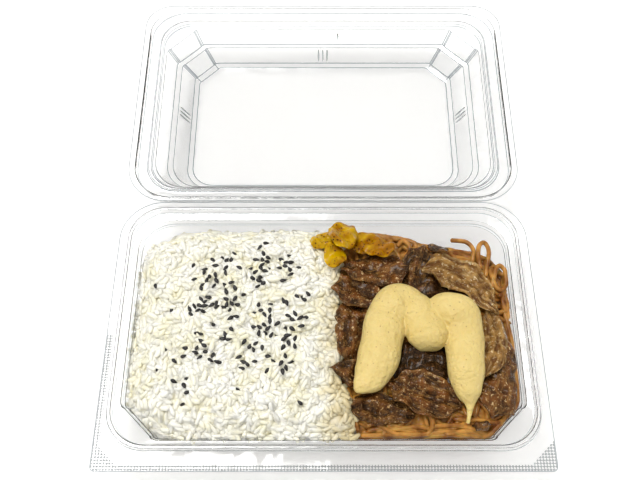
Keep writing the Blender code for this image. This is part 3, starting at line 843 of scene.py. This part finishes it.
# And those on the heap's own rear face, where the tray is empty.
for height in np.arange(2.5, 24.0, 2.3):
    x = np.linspace(border(50) + 2, 93 - 0.2 * (24 - height), 60)
    y = noodle_rear(x) + REAR_LEAN * (NOODLE_TOP - height) - 1.2
    y = y + 0.9 * np.sin(x * 0.35 + height)
    y = np.minimum(y, WELL_REAR - wall_inset(height) - 1.6)
    x = np.minimum(x, wall_x(y, wall_inset(height)) - 1.5)
    z = height + 1.6 * np.sin(x * 0.22 + 1.3 * height)
    strands.append((np.column_stack((x, y, np.maximum(z, 1.9))), 1.15))
noodle_strands = bundle("noodle_strands", strands, noodle_dough)
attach(noodle_strands, "box")


# ---- Braised beef ---------------------------------------------------------
# Thin slices of beef simmered in soy, sugar and onion: limp, frayed, folded over each other.
# Each slice is drawn along its own route and settles on whatever already lies under it.

class Pile:
    """Height of everything laid so far, on a grid over the well, softened as a cloth would be."""
    CELL, REACH = 1.0, 3

    def __init__(self):
        self.columns = int(2 * WELL_HALF / self.CELL) + 1
        self.rows = int((WELL_REAR - WELL_FRONT) / self.CELL) + 1
        self.height = np.zeros((self.rows, self.columns))

    def add(self, piece, settle=True):
        """Rays down through each cell under the piece find how high it stands."""
        tree = surface_tree(piece)[0]
        low, high = [[pick(vert.co[axis] for vert in piece.data.vertices) / MM for axis in (0, 1)]
                     for pick in (min, max)]
        for row in range(self.rows):
            for column in range(self.columns):
                x, y = column * self.CELL - WELL_HALF, row * self.CELL + WELL_FRONT
                if low[0] <= x <= high[0] and low[1] <= y <= high[1]:
                    hit = tree.ray_cast(Vector((x, y, 90)) * MM, Vector((0, 0, -1)))[0]
                    if hit:
                        self.height[row, column] = max(self.height[row, column], hit.z / MM)
        if settle:
            self.soft = self._window(self._window(self.height, np.max), np.mean)

    def _window(self, field, pick):
        """A field in which each cell takes the greatest, or the mean, of those round it."""
        padded = np.pad(field, self.REACH, mode='edge')
        span = range(2 * self.REACH + 1)
        return pick([padded[row:row + self.rows, column:column + self.columns]
                     for row in span for column in span], axis=0)

    def support(self, x, y):
        """The softened height under any places."""
        column = np.clip((np.asarray(x, float) + WELL_HALF) / self.CELL, 0.0, self.columns - 1.001)
        row = np.clip((np.asarray(y, float) - WELL_FRONT) / self.CELL, 0.0, self.rows - 1.001)
        c, r = column.astype(int), row.astype(int)
        u, v = column - c, row - r
        field = self.soft
        return ((field[r, c] * (1 - u) + field[r, c + 1] * u) * (1 - v)
                + (field[r + 1, c] * (1 - u) + field[r + 1, c + 1] * u) * v)


def meat_finish(name, lean, fat, dark, fleck):
    """Simmered beef: fat streaks along the slice, dark sauce in patches, painted shade in its low
    folds, and painted glints as pale beads on its crests. The sauce on it is brown and clear, so
    what it mirrors comes back warm."""
    made, tree, shader = new_finish(name, lean, 0.2, Subsurface_Weight=0.10,
                                    Subsurface_Scale=0.0012, IOR=1.5, Coat_Weight=0.25,
                                    Coat_Roughness=0.12, Coat_IOR=1.5)
    shader.inputs["Specular Tint"].default_value = tone("#F2B872")
    shader.inputs["Subsurface Radius"].default_value = (1.0, 0.4, 0.2)
    where = add_node(tree, 'ShaderNodeUVMap', {'uv_map': "slice_mm"})
    rise = add_node(tree, 'ShaderNodeAttribute', {'attribute_name': "rise"}).outputs["Fac"]
    rim = add_node(tree, 'ShaderNodeAttribute', {'attribute_name': "rim"}).outputs["Fac"]
    # Fat lies in streaks 6 by 2 mm, sauce in 5 mm patches, painted glints in pale 1.6 mm beads;
    # the fibres are 3 by 1 mm, which is as fine as shows.
    streak_map = add_node(tree, 'ShaderNodeMapping', inputs={0: where, "Scale": (0.16, 0.50, 1.0)})
    fibre_map = add_node(tree, 'ShaderNodeMapping', inputs={0: where, "Scale": (0.35, 1.0, 1.0)})
    streaks, blotches, beads, fibres, grain = [
        add_node(tree, 'ShaderNodeTexNoise', inputs={"Vector": source, **settings})
        for source, settings in (
            (streak_map, {"Scale": 1.0, "Detail": 4.0, "Roughness": 0.6, "Distortion": 0.8}),
            (where, {"Scale": 0.21, "Detail": 5.0, "Roughness": 0.6}),
            (where, {"Scale": 0.62, "Detail": 3.0, "Roughness": 0.7}),
            (fibre_map, {"Scale": 1.0, "Detail": 3.0}),
            (where, {"Scale": 1.2, "Detail": 2.0}))]
    streaky = add_node(tree, 'ShaderNodeMapRange', inputs={0: streaks, 1: 0.50, 2: 0.90})
    # Painted shade: the lower a part of the slice lies, the more it takes the dark colour; the
    # sauce patches add to it at random.
    lit = add_node(tree, 'ShaderNodeMath', {'operation': 'MULTIPLY_ADD'},
                   {0: rise, 1: 0.42, 2: blotches})
    deep = add_node(tree, 'ShaderNodeMapRange', inputs={0: lit, 1: 0.88, 2: 0.54})
    # Painted glints: pale beads of the glint colour, mostly on the raised parts of the slice.
    oily = add_node(tree, 'ShaderNodeMapRange', inputs={0: beads, 1: 0.57, 2: 0.665, 4: 0.9})
    crest = add_node(tree, 'ShaderNodeMapRange', inputs={0: rise, 1: 0.15, 2: 0.6, 3: 0.25})
    shining = add_node(tree, 'ShaderNodeMath', {'operation': 'MULTIPLY'}, {0: oily, 1: crest})
    colour = tone(lean)
    for share, over in ((deep, dark), (streaky, fat), (rim, fat), (shining, fleck)):
        colour = add_node(tree, 'ShaderNodeMix', {'data_type': 'RGBA'},
                          {0: share, 6: colour, 7: tone(over)}).outputs[2]
    relief = add_node(tree, 'ShaderNodeMath', {'operation': 'MULTIPLY_ADD'},
                      {0: grain, 1: 1.4, 2: fibres})
    coat_with(tree, shader, colour, relief, 0.0009, 0.85)
    return made


# The colours of each finish: lean, fat, the dark of its painted fold shade, and its painted
# glints.
beef_brown = meat_finish("braised_beef_brown", "#6E4018", "#A87A40", "#2A1405", "#E4C490")
beef_dark = meat_finish("braised_beef_dark", "#5A3412", "#8E6430", "#200F04", "#CFA870")
# The darkest finish is painted shadow: nearly black beef for the slices that lie under the
# mayonnaise and under the arch.
beef_deep = meat_finish("braised_beef_deep", "#2A1506", "#4A2C12", "#0C0401", "#7A5530")
beef_pale = meat_finish("braised_beef_pale", "#A27A40", "#D4B274", "#5C3814", "#EFDCB0")


THICK, THINNEST = 1.9, 0.25


def meat_slice(name, route, widths, ripple, waves, curl, fold, surface, seed):
    """A limp slice along a route of x and y, its width given at each knot."""
    length = sum(math.dist(a[:2], b[:2]) for a, b in zip(route, route[1:]))
    stations, columns = max(10, round(length / 0.9)), max(8, round(max(widths) / 0.8))
    rows, wide = stations + 1, columns + 1
    line = smooth_route([(*knot, width) for knot, width in zip(route, widths)], rows)
    ahead = np.gradient(line[:, :2], axis=0)
    ahead /= np.linalg.norm(ahead, axis=1, keepdims=True)
    share = np.linspace(0, 1, rows)[:, None]
    across = np.linspace(-1, 1, wide)[None, :]
    along = share * length
    half = 0.5 * line[:, 2:3]

    # Outline: each side frays in its own waves, the ends taper and bulge.
    ragged = 1 + 0.10 * np.sin(9 * share + seed) + 0.05 * np.sin(along * 0.55 + 2.3 * seed) \
        + 0.012 * np.sin(along * 1.4 + seed * 0.7)
    other = 1 + 0.10 * np.sin(8 * share + 2.1 * seed) + 0.05 * np.sin(along * 0.5 + 1.1 * seed) \
        + 0.012 * np.sin(along * 1.3 + seed * 1.9)
    from_end = np.minimum(share, 1 - share) * length
    taper = np.sqrt(np.clip(from_end / (0.32 * max(widths)) + 0.22, 0, 1))
    reach = half * taper * np.where(across > 0, ragged, other)
    ends = 0.8 * np.sin(across * 3.0 + seed) + 0.25 * np.sin(across * 7 + 2 * seed)
    push = (ends - 0.45 * half * across ** 2) * (2 * share - 1) ** 5
    px = line[:, 0:1] - ahead[:, 1:2] * reach * across + ahead[:, 0:1] * push
    py = line[:, 1:2] + ahead[:, 0:1] * reach * across + ahead[:, 1:2] * push

    # Height: it hangs no more than 3 mm below its middle, with ripples, pleats and curled sides.
    middle = pile.support(line[:, 0], line[:, 1])[:, None]
    base = np.maximum(pile.support(px, py), middle - 3.0) - 0.35
    wave = 0.5 + 0.5 * np.sin(2 * math.pi * waves * share + seed + 2.2 * across)
    pleat = 0.5 + 0.5 * np.sin(across * math.pi * fold + seed + 3 * share)
    relief = ripple * wave + 1.25 * ripple * pleat + 0.55 * lumps(px, py, 6.5, seed)
    relief = relief + 0.14 * lumps(px, py, 3.4, seed + 1) * (1 - across ** 2)
    low = base + relief + curl * np.abs(across) ** 3 * (0.6 + 0.4 * np.sin(along * 0.5 + seed))
    edge_gap = np.minimum(1 - np.abs(across), from_end / half.max())
    body = THICK * np.sqrt(np.clip(edge_gap * 2.4, 0.0, 1.0))
    body = np.maximum(body * (0.8 + 0.2 * np.sin(along * 1.3 + seed)), THINNEST)
    lid_room = 29.6 + 60.0 * np.clip((py + 50.0) / 1.5, 0, 1)      # low only by the front wall
    top = np.minimum(low + body, lid_room)
    low = np.minimum(low, top - THINNEST)

    count = rows * wide
    points = np.concatenate([np.stack((px, py, z), axis=2).reshape(-1, 3) for z in (top, low)])
    grid = np.arange(count).reshape(rows, wide)
    quads = np.stack((grid[:-1, :-1], grid[:-1, 1:], grid[1:, 1:], grid[1:, :-1]), axis=2)
    quads = quads.reshape(-1, 4).tolist()
    edge = [*grid[0, :].tolist(), *grid[1:, -1].tolist(), *grid[-1, -2::-1].tolist(),
            *grid[-2:0:-1, 0].tolist()]
    faces = [tuple(quad) for quad in quads]
    faces += [tuple(count + corner for corner in reversed(quad)) for quad in quads]
    faces += [(a, b, count + b, count + a) for a, b in zip(edge, edge[1:] + edge[:1])]
    made = new_piece(name, points, faces, surface)

    # What the finish reads: a place in millimetres on the slice, how near the rim, how raised.
    uv = np.stack((np.broadcast_to(along + 37 * seed, (rows, wide)),
                   np.broadcast_to(across * half, (rows, wide))), axis=2).reshape(-1, 2)
    uv = np.concatenate((uv, uv + 50))
    corners = np.empty(len(made.data.loops), int)
    made.data.loops.foreach_get("vertex_index", corners)
    made.data.uv_layers.new(name="slice_mm").data.foreach_set("uv", uv[corners].ravel())
    rim = np.clip(1 - edge_gap * np.ones((rows, wide)) / 0.16, 0, 1)
    rim = np.clip(rim * (0.10 + 0.30 * np.sin(along * 0.4 + seed)), 0, 1)
    rise = np.clip((relief - np.percentile(relief, 6)) / np.ptp(relief) * 1.25, 0, 1)
    for key, value in (("rim", rim.ravel()), ("rise", rise.ravel())):
        made.data.attributes.new(key, 'FLOAT', 'POINT').data.foreach_set(
            "value", np.concatenate((value, value)))
    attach(made, "box")
    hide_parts(name.replace("slice", "beef"))
    pile.add(made)


pile = Pile()
for heap in (rice_grains, noodle_strands, rice_core):
    pile.add(heap, settle=False)
pile.add(noodle_core)

# Name, route, widths, ripple, waves, curl, folds and finish, in the order in which they lie.
for order, (name, route, widths, ripple, waves, curl, fold, surface) in enumerate((
        ("slice_right_flat", ((88.5, -7), (86, -20), (83, -33), (77.5, -46)), (8, 14, 17, 19),
         0.5, 1.5, 0.3, 1, beef_brown),
        ("slice_rear_middle", ((52, 43), (49, 34), (47, 24), (48, 14)), (17, 17, 16, 14),
         0.8, 2.0, 0.8, 2, beef_dark),
        ("slice_middle", ((30, -17), (48, -20.5), (68, -22)), (18, 22, 20),
         0.7, 1.5, 0.4, 2, beef_deep),
        ("slice_left_upper", ((5, 3.5), (14, 3), (25, 2)), (11, 14, 14),
         0.7, 1.5, 0.5, 2, beef_brown),
        ("slice_left_middle", ((13.5, 2), (13.5, -10), (12, -21)), (14, 15, 12),
         0.9, 2.0, 0.6, 2, beef_brown),
        ("slice_left_lower", ((3.5, -24), (10, -25), (19, -28)), (3, 10, 16),
         0.6, 1.0, 0.5, 1, beef_dark),
        ("slice_rear_left", ((4.5, 18), (15, 17), (31, 13)), (14, 19, 15),
         0.9, 2.0, 0.7, 2, beef_brown),
        ("slice_rear_fold", ((9, 29), (24, 28.5), (43, 30)), (9, 18, 20),
         0.9, 2.5, 0.8, 2, beef_brown),
        ("slice_front_left", ((12, -44), (25, -42.5), (43, -46)), (9, 15, 9),
         1.0, 2.5, 0.7, 2, beef_dark),
        ("slice_under_arch", ((48, 14), (62, 13), (76, 7)), (15, 15, 12),
         0.6, 1.5, 0.4, 1, beef_deep),
        ("slice_right_strip", ((80, 6), (83, -5), (81, -16), (75.5, -28)), (10, 13, 13, 8),
         1.0, 3.0, 0.8, 3, beef_pale),
        ("slice_arch", ((50, 28), (59, 29), (68, 26), (75.5, 18.5), (80.5, 11), (86, 5)),
         (12, 19, 20, 16, 12, 8), 1.0, 3.5, 0.9, 3, beef_pale),
        ("slice_front_wide", ((31, -30), (46, -36), (65, -41)), (15, 20, 13),
         0.9, 3.5, 0.8, 3, beef_brown),
        ("slice_chip", ((53, 42), (64, 39.5)), (6, 5), 0.3, 1.0, 0.3, 1, beef_dark),
        ("slice_curl", ((69, -51), (77, -50.5)), (4.5, 4), 0.4, 1.0, 0.4, 1, beef_dark))):
    meat_slice(name, route, widths, ripple, waves, curl, fold, surface, seed=1.3 * order + 0.4)


# ---- Yellow pickles -------------------------------------------------------
# Chopped radish pickle in a sweet yellow brine with chilli: wet, half clear, in limp lumps.

# Radish soaked in brine: light goes well into it and comes out yellow, browner where it lies in
# the sauce; chilli sits on it in dark specks 1.4 mm apart, in patches.
radish, tree, shader = new_finish("yellow_pickled_radish", "#B58C00", 0.3, Subsurface_Weight=0.35,
                                  Subsurface_Scale=0.003, Coat_Weight=0.6, Coat_Roughness=0.12,
                                  Coat_IOR=1.33, IOR=1.33, Specular_IOR_Level=0.05)
shader.inputs["Subsurface Radius"].default_value = (1.0, 0.7, 0.1)
place = own_millimetres(tree)
cloud = add_node(tree, 'ShaderNodeTexNoise', inputs={"Vector": place, "Scale": 0.16,
                                                     "Detail": 3.0})
parts = add_node(tree, 'ShaderNodeSeparateXYZ', inputs={0: place})
share = add_node(tree, 'ShaderNodeMath', {'operation': 'MULTIPLY_ADD'},
                 {0: parts, 1: 0.008, 2: cloud})
share = add_node(tree, 'ShaderNodeMapRange', inputs={0: share, 1: 0.42, 2: 0.74})
mixed = add_node(tree, 'ShaderNodeMix', {'data_type': 'RGBA'},
                 {0: share, 6: tone("#C6A000"), 7: tone("#9A6400")})
dots = add_node(tree, 'ShaderNodeTexVoronoi', inputs={"Vector": place, "Scale": 0.7})
chilli = add_node(tree, 'ShaderNodeMapRange', inputs={0: dots, 1: 0.34, 2: 0.26})
patchy = add_node(tree, 'ShaderNodeMapRange', inputs={0: cloud, 1: 0.47, 2: 0.53})
chilli = add_node(tree, 'ShaderNodeMath', {'operation': 'MULTIPLY'}, {0: chilli, 1: patchy})
spiced = add_node(tree, 'ShaderNodeMix', {'data_type': 'RGBA'},
                  {0: chilli, 6: mixed.outputs[2], 7: tone("#3F1606")})
uneven = add_node(tree, 'ShaderNodeTexNoise', inputs={"Vector": place, "Scale": 0.7,
                                                      "Detail": 2.0})
coat_with(tree, shader, spiced.outputs[2], uneven, 0.0008, 0.5)


def pickle_lump(name, place, size, turn, seed):
    """A lump whose underside follows what it lies on, with soft dents in its skin."""
    bpy.ops.mesh.primitive_ico_sphere_add(subdivisions=5, radius=1.0)
    lump = bpy.context.object
    lump.name = name
    x, y, z = np.array([vert.co[:] for vert in lump.data.vertices]).T
    swell = 1 + 0.22 * lumps(x + z, y - z, 1.8, seed) + 0.035 * lumps(x - z, y + z, 0.8, seed + 3)
    x, y = x * size[0] / 2 * swell, y * size[1] / 2 * swell
    cos, sin = math.cos(math.radians(turn)), math.sin(math.radians(turn))
    px, py = place[0] + x * cos - y * sin, place[1] + x * sin + y * cos
    middle = float(pile.support(*place))
    low = np.maximum(pile.support(px, py), middle - 1.2) - 0.3
    rise = size[2] * (0.5 + 0.5 * z) * (0.85 + 0.28 * lumps(x, y, 7, seed + 5)) \
        + 0.25 * lumps(x, y, 4.0, seed) * np.clip(z, 0, 1)
    pz = low + np.maximum(rise, 0)
    lump.data.vertices.foreach_set("co", (np.stack((px, py, pz), axis=1) * MM).ravel())
    lump.data.update()
    lump.data.materials.append(radish)
    bpy.ops.object.shade_smooth()
    bpy.ops.object.select_all(action='DESELECT')
    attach(lump, "box")
    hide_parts(name.replace("radish", "pickle"))
    pile.add(lump)


for name, place, size, turn, seed in (("radish_left", (-0.5, 44.5), (13, 9, 5), 0, 0),
                                      ("radish_front", (6, 34.5), (10, 14, 4.5), 20, 1),
                                      ("radish_right", (25.5, 43), (21, 14.5, 6.4), -8, 2),
                                      ("radish_middle", (10.5, 46), (15, 16, 6.8), 10, 3)):
    pickle_lump(name, place, size, turn, seed)


# ---- Piped mayonnaise -----------------------------------------------------
# Egg mayonnaise piped thick and round on top of the beef in one run: a long leg up, a short fold
# down, a long leg back, ending in a thin tail. The runs touch and are joined into one skin.

# An egg emulsion: opaque, softly glowing, with a dull oily shine, its skin lumpy every 2.5 mm
# and dotted with small brown specks.
egg_sauce, tree, shader = new_finish("egg_mayonnaise", "#E6CB80", 0.34, Subsurface_Weight=0.3,
                                     Subsurface_Scale=0.0012, Coat_Weight=0.12,
                                     Coat_Roughness=0.3, IOR=1.45)
shader.inputs["Subsurface Radius"].default_value = (1.0, 0.75, 0.3)
place = own_millimetres(tree)
cloud = add_node(tree, 'ShaderNodeTexNoise', inputs={"Vector": place, "Scale": 0.09,
                                                     "Detail": 2.0})
mixed = add_node(tree, 'ShaderNodeMix', {'data_type': 'RGBA'},
                 {0: cloud, 6: tone("#E9D38C"), 7: tone("#D6BB6E")})
dots = add_node(tree, 'ShaderNodeTexVoronoi', inputs={"Vector": place, "Scale": 0.36})
speck = add_node(tree, 'ShaderNodeMapRange', inputs={0: dots, 1: 0.16, 2: 0.07, 4: 0.6})
spotted = add_node(tree, 'ShaderNodeMix', {'data_type': 'RGBA'},
                   {0: speck, 6: mixed.outputs[2], 7: tone("#8A5A28")})
uneven = add_node(tree, 'ShaderNodeTexNoise', inputs={"Vector": place, "Scale": 0.4,
                                                      "Detail": 5.0, "Roughness": 0.6})
coat_with(tree, shader, spotted.outputs[2], uneven, 0.0026, 0.7)

# Each knot is x, y and the radius there. A full run is FULL thick and sags by its own weight.
FULL, FLATTEN, RUN_SIDES = 9.6, 0.74, 28
runs = []
for knots in (
        ((14.6, -36.2, 1.2), (17.2, -33.8, 4.6), (21.6, -28.8, 8.2), (25.8, -20.0, 1.04 * FULL),
         (28.4, -8.5, 1.06 * FULL), (31.0, 2.4, 1.06 * FULL), (37.0, 9.8, 1.04 * FULL),
         (43.0, 7.8, 0.88 * FULL), (45.8, 3.0, 0.5 * FULL)),
        ((37.0, 9.0, 0.5 * FULL), (41.6, 8.4, 0.9 * FULL), (46.0, 3.4, FULL),
         (48.6, -3.4, 1.06 * FULL), (50.0, -9.0, 1.02 * FULL), (50.6, -12.8, 0.85 * FULL),
         (50.8, -15.6, 0.5 * FULL)),
        ((51.6, -2.0, 0.5 * FULL), (55.0, 2.6, 0.86 * FULL), (60.6, 4.8, 0.96 * FULL),
         (66.2, 2.6, FULL), (67.8, -6.0, FULL), (67.2, -18.0, 0.97 * FULL),
         (67.0, -29.5, 0.86 * FULL), (67.6, -37.0, 0.6 * FULL), (68.0, -41.6, 0.24 * FULL),
         (67.4, -46.0, 1.2), (66.4, -50.2, 0.9))):
    line = smooth_route(knots, 12 * len(knots))
    radius = line[:, 2] * (1 + 0.02 * np.sin(np.arange(len(line)) * 0.35))
    height = pile.support(line[:, 0], line[:, 1]) + 0.62 * FLATTEN * radius
    flat = np.stack((line[:, 0], line[:, 1], np.zeros(len(line))), axis=1)
    points, faces = strand_mesh(flat, radius, RUN_SIDES)
    points[:, 2] = points[:, 2] * FLATTEN + np.repeat(height, RUN_SIDES)
    points[:, 2] = np.maximum(points[:, 2], pile.support(points[:, 0], points[:, 1]) - 0.4)
    runs.append(new_piece("run", points, faces, egg_sauce))
mayonnaise = joined(runs, "piped_mayonnaise")
one_skin = mayonnaise.modifiers.new("One skin", 'REMESH')
one_skin.mode, one_skin.voxel_size = 'VOXEL', 0.45 * MM
settle = mayonnaise.modifiers.new("Settle", 'SMOOTH')
settle.factor, settle.iterations = 0.5, 2
for change in list(mayonnaise.modifiers):
    bpy.ops.object.modifier_apply(modifier=change.name)
mayonnaise.data.shade_smooth()
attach(mayonnaise, "box")
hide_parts("sauce")
